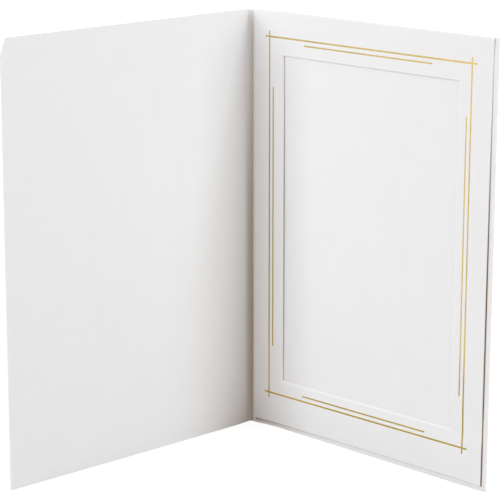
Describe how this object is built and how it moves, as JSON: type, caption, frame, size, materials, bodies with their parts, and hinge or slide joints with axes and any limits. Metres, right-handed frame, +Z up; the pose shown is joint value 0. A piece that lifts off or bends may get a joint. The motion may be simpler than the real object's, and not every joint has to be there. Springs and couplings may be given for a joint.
{
  "type": "photo folder",
  "caption": "White card photo folder with a folding front cover, a narrow creased spine, and a windowed frame flap that holds a print, edged with thin gold foil rules.",
  "frame": {"origin": "on the ground, in the middle of the box that the open folder stands in", "axes": "+Z up along the spine; the back panel runs along +X with its window facing -Y, and the front cover reaches toward -Y"},
  "size_m": [0.1374, 0.135, 0.1841],
  "materials": {
    "card": "uncoated white card with a fine fibre grain",
    "glue": "dried clear adhesive",
    "foil": "hot-stamped gold foil"
  },
  "bodies": {
    "spine": {"spine_strip": "card"},
    "back": {"back_panel": "card", "top_fold": "card", "frame_flap": "card", "side_glue_line": "glue", "bottom_glue_line": "glue", "foil_outer_rules": "foil", "foil_inner_rule_spine_side": "foil", "foil_inner_rule_mouth_side": "foil", "foil_inner_rule_top": "foil", "foil_inner_rule_bottom": "foil"},
    "cover": {"front_cover": "card"}
  },
  "joints": [
    {"name": "back_crease", "type": "hinge", "parent": "spine", "child": "back", "pos_m": [-0.06462, 0.0673, 0], "axis": [0, 0, 1], "range_deg": [-45.5, 44.5]},
    {"name": "cover_crease", "type": "hinge", "parent": "spine", "child": "cover", "pos_m": [-0.06615, 0.06579, 0], "axis": [0, 0, -1], "range_deg": [-45.5, 44.5]}
  ],
  "couplings": [
    {"joint": "cover_crease", "follows": "back_crease", "ratio": 1}
  ]
}
